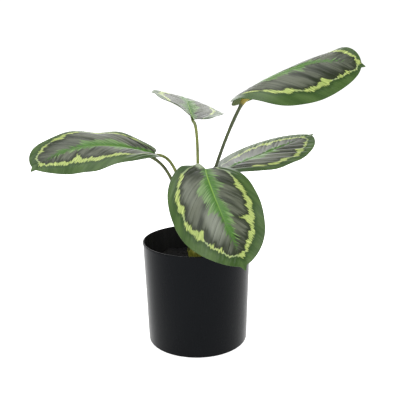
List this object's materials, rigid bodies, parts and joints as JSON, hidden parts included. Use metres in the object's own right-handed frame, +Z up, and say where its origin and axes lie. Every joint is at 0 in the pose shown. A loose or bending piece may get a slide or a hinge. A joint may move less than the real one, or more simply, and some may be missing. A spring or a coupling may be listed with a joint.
{
  "type": "potted ctenanthe",
  "caption": "House plant with broad painted leaves that arch out on thin stems from a plain round pot of dark soil; stands on its flat foot.",
  "frame": {"origin": "centre of the pot's flat foot, on the surface that it stands on", "axes": "+Z up along the pot's axis, -Y towards the viewer, where the leaf that hangs over the rim points"},
  "size_m": [0.3462, 0.3405, 0.3208],
  "materials": {
    "pot": "smooth black moulded plastic with a soft sheen",
    "soil": "black crumbly potting soil",
    "crown": "yellow-olive leaf sheaths, ribbed lengthwise",
    "stem": "dark olive green, smooth",
    "leaf": "satin leaf: dark green centre with a green feathered midrib, a jagged yellow-green ring and a mid-green margin; plain olive green underside"
  },
  "bodies": {
    "root": {"pot": "pot", "soil": "soil", "crown": "crown", "stem_front": "stem", "stem_left": "stem", "stem_left_second": "stem", "stem_top": "stem", "stem_right": "stem", "stem_back": "stem", "leaf_front": "leaf", "leaf_left": "leaf", "leaf_top": "leaf", "leaf_right": "leaf", "leaf_back": "leaf"}
  },
  "joints": []
}
